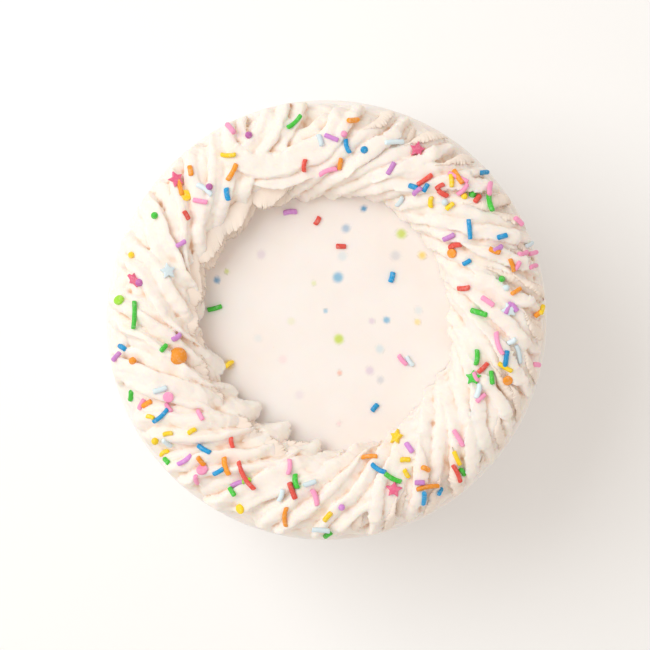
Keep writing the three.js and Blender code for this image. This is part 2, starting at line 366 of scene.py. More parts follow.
def leftness(turn):  # 1 for the turns on the left of the cake, 0 on the right
    return 0.5 + 0.5 * math.cos(math.radians(turn["foot"] - rope["leftmost"]))


skin = {  # the relief of a turn; a pair with no other note is for the right and the left of the cake
    "innerEnd": (105, 160),  # degrees of arch between which a turn becomes its inner end
    "outerEnd": (45, -10),  # and its outer end
    "tornLeast": (0.35, 0.08),
    "ridgePower": (1.9, 1.1),  # of whole and of torn ridges
    "ridgeDepth": 3.3,
    "depthVaries": (0.35, 0.85),
    "depthRates": (2.6, 1.3),  # from one flute to the next, and from one turn to the next
    "shallower": (0.4, 0.15),
    "shallowFrom": (60, 140),  # degrees between which the flutes on the right get shallower
    "lobe": 0.12,  # how much fuller the turns are at their outer ends on the left
    "lobeFills": 0.8,  # of the flutes there
    "drawnBack": 0.15,  # how much thinner the turns' inner ends are on the left, above the torn shelf
    "drawnTurns": (0.5, 0.8),  # how far left, and between which degrees
    "drawnFrom": (120, 175),
    "toothLength": (0.95, 1.7),
    "bite": 0.9,
    "swelling": 0.035,
    "swellingRates": (0.35, 0.8),  # of its waves along the cord
    "wander": 0.2,
    "wanderRates": (0.13, 0.31),  # of its waves along the cord
}


def wander(travelled, phase):  # ridges don't run quite straight along the cord
    return skin["wander"] * wavy(travelled, phase, *skin["wanderRates"])


teeth = {
    "uneven": 1.5,
    "unevenRates": (0.9, 1.7),
    "hook": 1.3,
    "sizes": (0.55, 0.45),  # mean and swing
    "sizeRates": (2.3, 0.7),
}


def sawTeeth(travelled, toothLength, phase, number):
    count = travelled / toothLength + teeth["uneven"] * wavy(travelled, phase + number, *teeth["unevenRates"])
    size = teeth["sizes"][0] + teeth["sizes"][1] * wavy(travelled, phase * 2 + number, *teeth["sizeRates"])
    return (count - np.floor(count)) ** teeth["hook"] * size


def cordSkin(turn, share, side, phase):  # points on the cord's skin; side runs from 0 to 1 round it
    middle, away, across, arch = sectionAxes(turn, share)
    travelled = share * rope["cordLength"]
    onLeft = leftness(turn)

    around = side * 2 * math.pi
    ridgeCount = rope["ridges"] * (around - math.radians(turn["roll"])) / (2 * math.pi)
    ridgeCount = ridgeCount + wander(travelled, phase)
    number = np.mod(np.round(ridgeCount), rope["ridges"])
    flute = np.mod(np.floor(ridgeCount), rope["ridges"])
    off = np.abs(2 * (ridgeCount - np.round(ridgeCount)))

    inner, outer = smoothStep(*skin["innerEnd"], arch), smoothStep(*skin["outerEnd"], arch)
    tornRight = mixed(skin["tornLeast"][0], 1, np.maximum(inner, outer))
    torn = mixed(tornRight, np.maximum(inner, skin["tornLeast"][1]), onLeft)
    ridge = 1 - off ** mixed(*skin["ridgePower"], torn)
    fluteRate, turnRate = skin["depthRates"]
    deep = 1 + mixed(*skin["depthVaries"], onLeft) * np.sin(fluteRate * flute + phase * turnRate)
    lobe = onLeft * outer
    shallowRight, shallowLeft = skin["shallower"]
    shallow = shallowLeft * onLeft + shallowRight * (1 - onLeft) * smoothStep(*skin["shallowFrom"], arch)
    flutes = skin["ridgeDepth"] * (1 - ridge) * deep * (1 - skin["lobeFills"] * lobe) * (1 - shallow)
    toothLength = mixed(*skin["toothLength"], onLeft)
    bite = skin["bite"] * torn * sawTeeth(travelled, toothLength, phase, number) * ridge
    shrink = 1 + skin["lobe"] * lobe - (bite + flutes) / rope["halfWidth"]
    drawn = smoothStep(*skin["drawnTurns"], onLeft) * smoothStep(*skin["drawnFrom"], arch)
    shrink = shrink - skin["drawnBack"] * drawn
    shrink = shrink * (1 + skin["swelling"] * wavy(travelled, phase * 3 + number, *skin["swellingRates"]))
    first, second = onSection(around, shrink)
    return middle + away * first[:, None] + across * second[:, None]


def turnPhase(number):
    step, start = 1.7, 0.4
    return step * number + start


def flatSheet(steps, around):  # a grid to bend into a tube, and where its points lie along and round it
    bm = bmesh.new()
    bmesh.ops.create_grid(bm, x_segments=steps, y_segments=around, size=0.5)
    sheet = meshFrom(bm, "flatSheet")
    flat = points(sheet) + 0.5
    return sheet, flat[:, 0] / flat[:, 0].max(), flat[:, 1] / flat[:, 1].max()


def addBent(bm, sheet, places):
    bent = sheet.copy()
    movePoints(bent, places)
    bm.from_mesh(bent)
    bpy.data.meshes.remove(bent)


def closeTubes(bm):
    bmesh.ops.remove_doubles(bm, verts=bm.verts, dist=1e-5)
    bmesh.ops.holes_fill(bm, edges=[edge for edge in bm.edges if edge.is_boundary], sides=0)
    bmesh.ops.recalc_face_normals(bm, faces=bm.faces)


def spinRound(bm, corners, pairs, steps):  # an outline in the XZ plane turned once round the Z axis
    edges = [bm.edges.new(pair) for pair in pairs]
    bmesh.ops.spin(bm, geom=corners + edges, cent=(0, 0, 0), axis=(0, 0, 1), angle=2 * math.pi, steps=steps,
                   use_merge=True)
    bmesh.ops.remove_doubles(bm, verts=bm.verts, dist=1e-4)
    bmesh.ops.recalc_face_normals(bm, faces=bm.faces)


def ropeCore():  # the cream under the turns, a low ring that reaches the rim
    count, steps = rope["coreSteps"]
    bm = bmesh.new()
    ends = []
    for k in range(count + 1):
        angle = math.pi * k / count
        sideways = rope["coreOutwards"] if angle < math.pi / 2 else rope["coreInwards"]
        reach = rope["ringRadius"] + sideways * math.cos(angle)
        ends.append(bm.verts.new((reach, 0, rope["seat"] + rope["coreRise"] * math.sin(angle))))
    spinRound(bm, ends, zip(ends, ends[1:] + ends[:1]), steps)
    return meshFrom(bm, "core")


def knead(mesh):  # the whole rope pushed a little out of true
    places = points(mesh)
    push = [
        sum(share * ripple(places, size, seed + more) for share, size, more in rope["kneadWaves"])
        for seed in rope["kneadSeeds"]
    ]
    movePoints(mesh, places + np.stack(push, axis=1) * rope["kneading"])


caps = {  # ridges that stand out, with serrated edges on the right and one smooth ridge a turn on the left
    "steps": 120,
    "around": 16,
    "thickness": 0.7,
    "rounded": 0.14,  # share of the length in which the first end becomes full
    "tapered": (0.85, 0.55),  # how much narrower the last end gets, and from where
    "lifted": (0.15, 0.7),  # where a cap has left the skin and where it goes back to it
    "dip": (0.8, 0.1),  # how deep its first end starts in the cord, and over what share
    "edgeDrop": 0.25,
    # chosenAt: where along its turn the ridge has to stand highest; arch: from where to where it runs
    "blade": {"chosenAt": 70, "arch": (32, 108), "half": 3.6, "lift": 0.5, "teeth": (1, 1.8), "furrow": 0.2},
    "fringe": {"chosenAt": 70, "arch": (-2, 72), "half": 3, "lift": 0.5, "teeth": (0.9, 2.2), "furrow": 0.22},
    "ridge": {"chosenAt": 100, "arch": (34, 176), "half": 1.5, "lift": 0.8, "teeth": (1.6, 0.3), "furrow": 0},
}


def bendCap(turn, number, phase, kind, along, side):
    sweep = turn["sweepTo"] - rope["sweepFrom"]
    share = (mixed(*kind["arch"], along) - rope["sweepFrom"]) / sweep
    middle, away, sideways, arch = sectionAxes(turn, share)
    travelled = share * rope["cordLength"]
    edge, top = np.cos(2 * math.pi * side), np.sin(2 * math.pi * side)

    toothLength, toothDepth = kind["teeth"]
    tapered, taperFrom = caps["tapered"]
    rounded = np.sqrt(1 - (1 - np.minimum(along / caps["rounded"], 1)) ** 2)
    half = kind["half"] * rounded * (1 - tapered * smoothStep(taperFrom, 1, along))
    tooth = sawTeeth(travelled, toothLength, phase + np.sign(edge), number)
    half = np.maximum(half - toothDepth * tooth * np.abs(edge) ** 3 * rounded, 0)
    around = 2 * math.pi * (number - wander(travelled, phase)) / rope["ridges"] + math.radians(turn["roll"])
    around = around + edge * half / rope["halfWidth"]

    (left, back), (dip, dipLength) = caps["lifted"], caps["dip"]
    lift = kind["lift"] * smoothStep(0, left, along) * smoothStep(1, back, along)
    lift = lift - dip * smoothStep(dipLength, 0, along)
    furrow = kind["furrow"] * np.sin(2 * math.pi * (travelled - 0.5 * np.abs(edge)) / toothLength + phase)
    out = lift + caps["thickness"] * top - (lift + caps["edgeDrop"]) * edge ** 2
    out = out + furrow * (top > 0) * np.abs(edge)
    first, second = onSection(around, 1 + out / rope["halfWidth"])
    return middle + away * first[:, None] + sideways * second[:, None]


def upwards(turn, number, arch):  # how steeply a ridge points up there
    share = np.array([(arch - rope["sweepFrom"]) / (turn["sweepTo"] - rope["sweepFrom"])])
    middle, away, sideways, arch = sectionAxes(turn, share)
    first, second = onSection(2 * math.pi * number / rope["ridges"] + math.radians(turn["roll"]), 1)
    return unit(away * first + sideways * second)[0, 2]


lobes = {  # the broad ends of the piping that lie furthest over the smooth top, lower left
    "root": 51,
    "heights": (96.0, 87.6),
    "thickness": 2.4,
    "dome": 1.2,
    "toothRoot": 0.86,
    "seed": 79,
    "starts": (168, 192, 209, 219, 239, 254),  # degrees
    "spans": (20, 23, 19, 24, 21, 20),
    "tips": (40.2, 37.2, 38.9, 36.2, 36.3, 39.4),
    "leans": (0.85, 0.3),
    "phases": 6,
}


def highestRidge(turn, arch):
    return max(range(rope["ridges"]), key=lambda number: upwards(turn, number, arch))


def addCaps(bm):
    sheet, along, side = flatSheet(caps["steps"], caps["around"])
    for place, turn in enumerate(ropeTurns()[:-1]):
        kind = caps["ridge"] if leftness(turn) > 0.5 else caps["blade"]
        highest = highestRidge(turn, kind["chosenAt"])
        addBent(bm, sheet, bendCap(turn, highest, turnPhase(place), kind, along, side))
    draw = makeDraw(lobes["seed"])
    for angle, span, tip in zip(lobes["starts"], lobes["spans"], lobes["tips"]):
        row = {**petals, **lobes, "span": span, "tip": tip}
        lean, phase = varied(draw, *lobes["leans"]), lobes["phases"] * next(draw)
        addBent(bm, sheet, bendPetal(row, angle, 1, lean, phase, along, side))
    bpy.data.meshes.remove(sheet)


def buildRope():
    sheet, share, side = flatSheet(rope["steps"], rope["around"])
    bm = bmesh.new()
    for number, turn in enumerate(ropeTurns()):
        addBent(bm, sheet, cordSkin(turn, share, side, turnPhase(number)))
    bpy.data.meshes.remove(sheet)
    addCaps(bm)
    closeTubes(bm)
    angle, radius, height = rope["mound"]
    turned = Matrix.Rotation(math.radians(angle + 90), 4, "Z")
    place = Matrix.Rotation(math.radians(angle), 4, "Z") @ Vector((radius, 0, height))
    stretched = Matrix.Translation(place) @ turned @ Matrix.Diagonal((*rope["moundSize"], 1))
    bmesh.ops.create_icosphere(bm, subdivisions=4, radius=1, matrix=stretched)
    core = ropeCore()
    bm.from_mesh(core)
    bpy.data.meshes.remove(core)
    mesh = meshFrom(bm, "pipedRope")
    knead(mesh)
    piece = newObject("pipedRope", mesh)
    mesh = applied(piece, "REMESH", mode="VOXEL", voxel_size=rope["voxel"])
    print("rope remeshed:", len(mesh.polygons), "faces")
    return piece


def limited(places, drawnIn):  # kept inside the rim, and pressed down a little where they stand highest
    outermost = rope["outermost"]
    radius = np.hypot(places[:, 0], places[:, 1])
    limit = np.minimum(radius, outermost - drawnIn * smoothStep(outermost, rope["fadingTo"], radius))
    places[:, :2] *= (limit / radius)[:, None]
    places[:, 2] -= rope["pressing"] * np.maximum(places[:, 2] - rope["eased"], 0)
    return places


def triangleCount(mesh):
    return sum(len(face.vertices) - 2 for face in mesh.polygons)


def settleRope(piece):  # grain, the outer limit and the flat seat, still in millimetres
    mesh = piece.data
    places, facing = points(mesh), normals(mesh)
    lumps = sum(height * ripple(places, size, seed) for height, size, seed in rope["lumps"])
    places = limited(places + facing * lumps[:, None], rope["drawnIn"])
    places[:, 2] = np.maximum(places[:, 2], rope["seat"])
    movePoints(mesh, places)
    ratio = min(1, rope["trianglesAtMost"] / (2 * len(mesh.polygons)))
    mesh = applied(piece, "DECIMATE", ratio=ratio)
    print("rope thinned to", triangleCount(mesh), "triangles")


def relaxed(mesh, places, rounds):  # each point moved towards its neighbours, over and over
    moving = 0.6
    pairs = np.empty(len(mesh.edges) * 2, dtype=np.int32)
    mesh.edges.foreach_get("vertices", pairs)
    first, second = pairs[0::2], pairs[1::2]
    count = len(places)
    degree = np.maximum(np.bincount(first, minlength=count) + np.bincount(second, minlength=count), 1)
    for _ in range(rounds):
        moved = np.empty_like(places)
        for axis in range(places.shape[1]):
            column = places[:, axis]
            total = np.bincount(first, column[second], count) + np.bincount(second, column[first], count)
            moved[:, axis] = total / degree
        places = mixed(places, moved, moving)
    return places


def markHollows(mesh, name, rounds, depth):  # 0 on a ridge, 0.5 on flat cream, 1 in a crease; the cream's painted shade follows it
    blurring = 3
    places = points(mesh)
    away = relaxed(mesh, places, rounds) - places
    sunk = np.sum(away * normals(mesh), axis=1) / depth
    hollow = relaxed(mesh, np.clip(0.5 + 0.5 * sunk, 0, 1)[:, None], blurring)[:, 0]
    layer = mesh.attributes.new(name, "FLOAT", "POINT")
    layer.data.foreach_set("value", hollow.astype(np.float32))


def toMetres(mesh):
    movePoints(mesh, points(mesh) * mm)


def heightFinder(tree):
    down, above = Vector((0, 0, -1)), 130

    def heightAt(x, y):
        place = tree.ray_cast(Vector((x, y, above)), down)[0]
        return place.z if place else rope["cakeTop"]
    return heightAt


petals = {  # the thin torn shelf of cream along the left of the smooth top, in overlapping pieces
    "steps": 130,
    "around": 12,
    "thickness": 1.0,
    "thinning": (1.2, 0.6),  # share of the thickness at the root, and how much of it goes towards the tip
    "slant": 0.85,  # degrees for each millimetre outwards, the way the piping runs
    "teeth": ((2.9, 1.4, 0), (1.0, 0.6, 3)),  # length, depth and number
    "toothRoot": 0.6,
    "dome": 0,
    "tipWave": 0.9,
    "tipRates": (0.5, 0.21),
    "wave": 0.6,
    "waveRates": (0.7, 0.33),
    "askew": 0.3,  # of the space between two petals
    "sizes": (0.85, 0.3),
    "leans": (0.75, 0.5),
    "phases": 6,
    "count": 9,  # in each row
    "rows": (
        {"seed": 71, "first": 104, "last": 232, "span": 25, "root": 50, "tip": 42.4, "heights": (95.5, 94.2)},
        {"seed": 73, "first": 96, "last": 244, "span": 28, "root": 49, "tip": 41.3, "heights": (92.0, 90.2)},
    ),
}


def bendPetal(row, angle, size, lean, phase, along, side):  # side runs from 0 to 1 round its edge
    span, root = row["span"] * size, row["root"]
    travelled = math.radians(span) * row["tip"] * along
    bulge = np.sqrt(np.maximum(np.sin(math.pi * along ** lean), 0))
    tooth = sum(depth * sawTeeth(travelled, length, phase, number) for length, depth, number in row["teeth"])
    tip = row["tip"] + row["tipWave"] * wavy(travelled, phase, *row["tipRates"])
    across = 0.5 - 0.5 * np.cos(2 * math.pi * side)
    radius = root + bulge * ((tip - root) * across + tooth * smoothStep(row["toothRoot"], 1, across))
    ring = np.radians(angle + span * along - row["slant"] * (radius - row["tip"]))
    full, thinner = row["thinning"]
    height = mixed(*row["heights"], across) + row["dome"] * np.sin(math.pi * along) * np.sin(math.pi * across)
    height = height + row["wave"] * across * wavy(travelled, phase * 2, *row["waveRates"])
    height = height + 0.5 * row["thickness"] * np.sin(2 * math.pi * side) * (full - thinner * across)
    return np.stack([radius * np.cos(ring), radius * np.sin(ring), height], axis=1)


def buildFringes(sheet, along, side):
    bm = bmesh.new()
    kind = caps["fringe"]
    for place, turn in enumerate(ropeTurns()[:-1]):
        if leftness(turn) < 0.5:
            highest = highestRidge(turn, kind["chosenAt"])
            for number in (highest - 1, highest + 1):
                addBent(bm, sheet, bendCap(turn, number, turnPhase(place), kind, along, side))
    fringes = meshFrom(bm, "fringes")
    knead(fringes)
    return fringes


def addPetals(bm, sheet, along, side):
    for row in petals["rows"]:
        draw = makeDraw(row["seed"])
        for k in range(petals["count"]):
            share = (k + petals["askew"] * next(draw)) / (petals["count"] - 1)
            angle = mixed(row["first"], row["last"], share)
            size, lean = varied(draw, *petals["sizes"]), varied(draw, *petals["leans"])
            phase = petals["phases"] * next(draw)
            addBent(bm, sheet, bendPetal({**petals, **row}, angle, size, lean, phase, along, side))


def buildShelf():
    sheet, along, side = flatSheet(petals["steps"], petals["around"])
    joined = bmesh.new()
    fringes = buildFringes(sheet, along, side)
    joined.from_mesh(fringes)
    bpy.data.meshes.remove(fringes)
    addPetals(joined, sheet, along, side)
    bpy.data.meshes.remove(sheet)
    closeTubes(joined)
    mesh = meshFrom(joined, "tornShelf")
    movePoints(mesh, limited(points(mesh), 0))
    print("torn shelf:", triangleCount(mesh), "triangles")
    return newObject("tornShelf", mesh)


def treeOf(*meshes):
    corners, faces = [], []
    for mesh in meshes:
        faces += [tuple(len(corners) + index for index in face.vertices) for face in mesh.polygons]
        corners += [Vector(place) for place in points(mesh)]
    return BVHTree.FromPolygons(corners, faces)


creamGlow = (1.0, 0.62, 0.38)  # how far red, green and blue light spread in cream
cream = {
    "light": linear(251, 239, 230),
    # painted shade: the next colour is laid into the hollows and the deep one into the creases, where shade
    # falls
    "warmShade": linear(241, 211, 181),
    "deep": linear(216, 156, 104),
    "depth": 1.9,  # of the light in it
    "blotches": (9, 0.12),  # size and strength
    # ranges and shares of the painted shade in hollows and creases
    "hollows": (0.48, 0.9),
    "hollowShadeShare": 0.75,
    "creases": (0.58, 0.94),
    "creaseShadeShare": 0.85,
    "fineGrain": (0.7, 4, 0.6),  # size, detail and roughness
    "coarseGrain": (2.4, 3, 0.55),
    "fineShare": 0.4,
    "relief": (0.25, 0.5),
    "roughness": (0.52, 0.16),
    "gloss": 0.35,
    "finishes": {"pipedCream": (0, 0.4), "tornCream": (0.25, 0.1)},  # share of the painted warm shade laid over the whole piece, as the torn shelf lies in shade, and how much light goes in
}


def creamFinish(name):
    shadeBaseline, glow = cream["finishes"][name]
    finish = Finish(name, Subsurface_Weight=glow, Subsurface_Radius=creamGlow,
                    Subsurface_Scale=cream["depth"] * mm, Specular_IOR_Level=cream["gloss"])
    size, strength = cream["blotches"]
    blotches = strength * finish.grain(size, 3) - strength / 2
    # painted shade: hollows and creases of the cream darkened towards warm brown
    wide = (finish.attribute("hollows") + blotches).between(*cream["hollows"])
    creaseShadeMask = finish.attribute("creases").between(*cream["creases"])
    # painted shade: the torn shelf carries part of the warm shade colour everywhere, on top of its hollows
    toneAndShade = finish.mix(wide * (cream["hollowShadeShare"] - shadeBaseline) + shadeBaseline, cream["light"], cream["warmShade"])
    finish.set("Base Color", finish.mix(creaseShadeMask * cream["creaseShadeShare"], toneAndShade, cream["deep"]))
    finish.surface(cream)
    return finish.material


pipedRope = buildRope()
settleRope(pipedRope)
tornShelf = buildShelf()
ropeTree = treeOf(pipedRope.data, tornShelf.data)
hollowsOf = {  # rounds of smoothing and the depth in mm that counts as full, for the creases and the hollows that get painted shade
    pipedRope: {"creases": (5, 0.35), "hollows": (40, 1.4)},
    tornShelf: {"creases": (3, 0.8), "hollows": (6, 2.5)},
}
for piece, finish in ((pipedRope, "pipedCream"), (tornShelf, "tornCream")):
    for name, (rounds, depth) in hollowsOf[piece].items():
        markHollows(piece.data, name, rounds, depth)
    toMetres(piece.data)
    smoothShade(piece.data)
    piece.data.materials.append(creamFinish(finish))
    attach(piece, "root")
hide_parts("piped_rope")
print("piped rope done")


cake = {
    "radius": 75.0,
    "height": 84.0,
    "topEdge": 3.0,
    "footEdge": 1.2,
    "steps": 300,
    "topRing": 0.7,  # millimetres between rings on the top
    "sideRow": 1.4,
    "sideStarts": ((72, 74.8), (0.5, 4)),  # radii and heights between which the scraper's marks grow
    "topStarts": (83.2, 83.9),  # heights between which the knife's marks grow
    "unevenness": 0.18,
    "broadMarks": (9, 7, 0.55),  # round the side, up the side and scale
    "streaks": (3, 1.5, 0.22),  # round the side, up the side and strength
    "swirls": ((16, 3, 1), (5, 9, 0.35)),  # size, level of the noise and strength
    "confetti": {"seed": 4409, "count": 170, "heights": (3, 76), "widths": (2.4, 2), "shows": (0.15, 0.5)},
    "spotEdge": (0.22, 0.62),  # shares of a spot's width between which it fades
}

# Confetti just under the smooth top: colour, degrees, millimetres from the middle, width, how much shows
sunkOnTop = [
    ("blue", 160, 39.6, 2.6, 0.8),
    ("lime", 154, 37.7, 2.0, 0.7),
    ("lime", 109, 13.2, 2.0, 0.4),
    ("lavender", 135, 31.4, 3.4, 0.4),
    ("blue", 71.5, 39.9, 2.4, 0.9),
    ("blue", 78, 31.8, 3.2, 0.5),
    ("lime", 49, 38.8, 3.8, 0.9),
    ("paleBlue", 76, 22.3, 3.6, 0.5),
    ("slate", 43, 32.0, 3.8, 0.45),
    ("skyBlue", 75, 15.0, 4.0, 0.8),
    ("lime", 303, 7.7, 3.8, 0.95),
    ("paleBlue", 331.5, 20.6, 3.2, 0.6),
    ("lavender", 310.5, 22.6, 3.2, 0.55),
    ("slate", 312, 27.4, 2.8, 0.5),
    ("skyBlue", 0, 20.4, 2.6, 0.8),
    ("lavender", 358.8, 15.4, 2.4, 0.5),
    ("skyBlue", 96, 3.1, 1.8, 0.6),
    ("paleBlue", 6, 31.4, 3.0, 0.4),
    ("yellow", 358.8, 30.9, 2.4, 0.6),
    ("coral", 284, 18.5, 2.0, 0.6),
    ("pink", 277, 35.4, 1.8, 0.4),
    ("yellow", 34, 39.2, 3.0, 0.8),
    ("yellow", 204.5, 36.5, 3.4, 0.9),
    ("paleBlue", 195, 24.0, 3.0, 0.25),
    ("pink", 222, 20.0, 3.4, 0.22),
    ("lavender", 250, 27.0, 3.4, 0.22),
    ("lime", 182, 12.0, 3.0, 0.2),
]
sunkColours = {
    "blue": linear(60, 150, 200),
    "skyBlue": linear(105, 180, 215),
    "paleBlue": linear(205, 222, 228),
    "slate": linear(190, 195, 205),
    "lavender": linear(214, 190, 214),
    "lime": linear(205, 220, 100),
    "yellow": linear(245, 215, 90),
    "coral": linear(240, 160, 130),
    "pink": linear(246, 190, 200),
}


def cakeProfile():
    radius, height, topEdge, footEdge = (cake[key] for key in ("radius", "height", "topEdge", "footEdge"))
    spots = [(0.0, 0.0), (radius / 2, 0.0)]
    footSteps, topSteps = 4, 8
    for k in range(footSteps + 1):
        angle = math.radians(90 * k / footSteps - 90)
        spots.append((radius - footEdge * (1 - math.cos(angle)), footEdge * (1 + math.sin(angle))))
    low, high, flat = footEdge, height - topEdge, radius - topEdge
    rows = int((high - low) / cake["sideRow"])
    spots += [(radius, low + (high - low) * k / rows) for k in range(1, rows)]
    for k in range(topSteps + 1):
        angle = math.radians(90 * k / topSteps)
        spots.append((radius - topEdge * (1 - math.cos(angle)), high + topEdge * math.sin(angle)))
    rings = int(flat / cake["topRing"])
    spots += [(flat * (1 - k / rings), height) for k in range(1, rings + 1)]
    return spots


def buildCake():
    bm = bmesh.new()
    corners = [bm.verts.new((reach, 0, height)) for reach, height in cakeProfile()]
    spinRound(bm, corners, zip(corners, corners[1:]), cake["steps"])
    return meshFrom(bm, "icedCake")


def smearCake(mesh):  # the marks of the scraper on the side and of the knife on the top, always inwards
    places = points(mesh)
    radius = np.hypot(places[:, 0], places[:, 1])
    sideFrom, upFrom = cake["sideStarts"]
    onSide = smoothStep(*sideFrom, radius) * smoothStep(*upFrom, places[:, 2])
    onTop = smoothStep(*cake["topStarts"], places[:, 2]) * (1 - onSide)
    (wide, tall, scale), (streakWide, streakTall, streaky) = cake["broadMarks"], cake["streaks"]
    depth = []
    for x, y, z in places:
        turned = math.atan2(y, x)
        ahead, aside = math.cos(turned), math.sin(turned)
        broad = noise.noise(Vector((ahead * wide, aside * wide, z / tall)) * scale)
        streak = noise.noise(Vector((ahead * streakWide, aside * streakWide, z / streakTall)))
        swirl = 0
        for size, level, share in cake["swirls"]:
            swirl += share * noise.noise(Vector((x / size, y / size, level)))
        depth.append((0.5 + 0.5 * broad + streaky * streak, 0.5 + 0.5 * swirl))
    depth = np.clip(np.array(depth), 0, 1) * cake["unevenness"]
    places[:, :2] *= (1 - onSide * depth[:, 0] / radius.clip(1))[:, None]
    places[:, 2] -= onTop * depth[:, 1]
    movePoints(mesh, places)


def onRing(angle, radius, height):
    return np.array([radius * math.cos(angle), radius * math.sin(angle), height])


def tintCake(mesh):  # attribute "confetti": soft spots of colour where confetti shows through the icing
    places = points(mesh)
    colour = np.zeros((len(places), 4))

    def dab(middle, width, name, shows):
        away = np.linalg.norm(places - middle, axis=1)
        near = away < width
        full, gone = cake["spotEdge"]
        share = shows * (1 - smoothStep(width * full, width * gone, away[near]))
        colour[near, :3] += share[:, None] * (np.array(sunkColours[name][:3]) - colour[near, :3])
        colour[near, 3] = np.maximum(colour[near, 3], share)

    for name, angle, reach, width, shows in sunkOnTop:
        dab(onRing(math.radians(angle), reach, cake["height"]), width, name, shows)
    strewn = cake["confetti"]
    draw = makeDraw(strewn["seed"])
    names = list(sunkColours)
    for _ in range(strewn["count"]):
        middle = onRing(2 * math.pi * next(draw), cake["radius"], varied(draw, *strewn["heights"]))
        width, name = varied(draw, *strewn["widths"]), names[int(next(draw) * len(names))]
        faint, clearer = strewn["shows"]
        dab(middle, width, name, faint + clearer * next(draw) ** 2)
    share = colour[:, 3].copy()
    colour[:, :3] /= np.maximum(share, 1e-3)[:, None]
    colour[:, 3] = 1
    shade = mesh.attributes.new("confetti", "FLOAT_COLOR", "POINT")
    shade.data.foreach_set("color", colour.astype(np.float32).ravel())
    shows = mesh.attributes.new("confettiShows", "FLOAT", "POINT")
    shows.data.foreach_set("value", share.astype(np.float32))


icing = {
    "light": linear(247, 239, 234),
    "shade": linear(243, 231, 222),
    "crumb": linear(236, 205, 170),
    "glow": 0.3,  # how much light goes in, and how deep
    "depth": 3,
    "clouds": (28, 0.35, 0.75, 0.6),  # size, from, to and strength
    "crumbs": (0.8, 0.7, 0.78, 0.25),
    "fineGrain": (1.1, 4, 0.6),
    "coarseGrain": (6, 3, 0.5),
    "fineShare": 0.3,
    "relief": (0.2, 0.35),
    "roughness": (0.4, 0.12),
    "gloss": 0.4,
}


def icingFinish():
    finish = Finish("smoothIcing", Subsurface_Weight=icing["glow"], Subsurface_Radius=creamGlow,
                    Subsurface_Scale=icing["depth"] * mm, Specular_IOR_Level=icing["gloss"])
    size, low, high, strength = icing["clouds"]
    clouds = finish.grain(size, 3).between(low, high) * strength
    toneAndShade = finish.mix(clouds, icing["light"], icing["shade"])
    size, low, high, strength = icing["crumbs"]
    toneAndShade = finish.mix(finish.grain(size, 2).between(low, high) * strength, toneAndShade, icing["crumb"])
    shows, confetti = finish.attribute("confettiShows"), finish.attribute("confetti", "Color")
    finish.set("Base Color", finish.mix(shows, toneAndShade, confetti))
    finish.surface(icing)
    return finish.material


icedMesh = buildCake()
smearCake(icedMesh)
tintCake(icedMesh)
cakeTree = treeOf(icedMesh)
toMetres(icedMesh)
smoothShade(icedMesh)
icedCake = newObject("icedCake", icedMesh)
icedMesh.materials.append(icingFinish())
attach(icedCake, "root")
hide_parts("iced_cake")
print("iced cake done")


sugar = {
    "seed": 733,
    "placeSeed": 611,
    "rodRadius": 0.85,
    "rodShortest": 3.4,
    "rodLongest": 6.8,
    "rodEnds": 0.42,  # share of the radius that is rounded off
    "bow": 0.1,
    "discRadius": 1.8,
    "discThickness": 1.2,
    "discEdge": 0.4,
    "ballRadius": 1.2,
    "pearlRadius": 3.0,
    "rodVaries": (0.9, 0.2),  # least share of its size and how much more
    "discVaries": (0.92, 0.16),
    "ballVaries": (0.9, 0.2),
    "starVaries": (0.94, 0.1),
    "rodSides": 8,
    "discSides": 20,
    "starCorners": 10,
    "starRadius": 2.9,
    "starWaist": 0.5,
    "starThickness": 1.4,
    "starEdge": 0.28,
    "spread": {"along": 14, "across": 13},  # of a handful, in degrees and millimetres
    "shorter": 1.5,  # the power that makes short rods more usual than long ones
    "sunk": 0.3,
    "beyond": 1,  # millimetres outside a sprinkle, other than a rod, where the slope is measured
    "bridging": 0.75,  # how far a sprinkle rests on the ridges beside it
    "feltAt": (-0.8, -0.4, 0.4, 0.8),  # shares of its half length where it meets them
    "steepest": 1.1,
    "clear": 1.1,  # half thicknesses kept free below the highest point that is allowed
    "shades": (0.9, 0.16),
    "colours": {
        "red": linear(232, 84, 70),
        "orange": linear(252, 158, 34),
        "yellow": linear(255, 216, 20),
        "green": linear(66, 200, 56),
        "lime": linear(160, 222, 50),
        "blue": linear(0, 154, 214),
        "lavender": linear(214, 142, 216),
        "purple": linear(192, 100, 172),
        "pink": linear(252, 160, 200),
        "rose": linear(240, 104, 144),
        "pale": linear(222, 238, 244),
    },
}

# The largest sprinkles on the piping: kind, colour, degrees, millimetres, heading and length of a rod
largest = [
    ("pearl", "orange", 193.7, 51.3),
    ("star", "rose", 62, 64.3),
    ("star", "rose", 137, 68.7),
    ("star", "pale", 163, 55.3),
    ("star", "rose", 168, 65.5),
    ("star", "rose", 291.7, 60.7),
    ("star", "yellow", 301, 45.6),
    ("star", "green", 338.5, 52.5),
    ("star", "pale", 3, 60.7),
    ("disc", "orange", 28, 47.5),
    ("disc", "yellow", 138.5, 62.6),
    ("disc", "lime", 174.6, 69.6),
    ("disc", "pink", 206, 58.5),
    ("disc", "pink", 230.4, 64.9),
    ("disc", "yellow", 245.5, 69.3),
    ("disc", "orange", 341.6, 63.5),
    ("rod", "blue", 32.4, 56.2, 95, 6.8),
    ("rod", "pink", 47.2, 64.4, 155, 7.4),
    ("rod", "pale", 69.2, 63.2, 5, 7.1),
    ("rod", "green", 99.4, 67.1, 45, 6.8),
    ("rod", "green", 178.5, 64, 88, 9.5),
    ("rod", "red", 242.8, 58.1, 120, 11),
    ("rod", "orange", 258.5, 66.9, 87, 6.8),
    ("rod", "orange", 301.1, 65.1, 8, 8.1),
    ("rod", "red", 310.4, 67, 115, 6.8),
    ("rod", "pink", 352.3, 58.1, 105, 8.1),
]

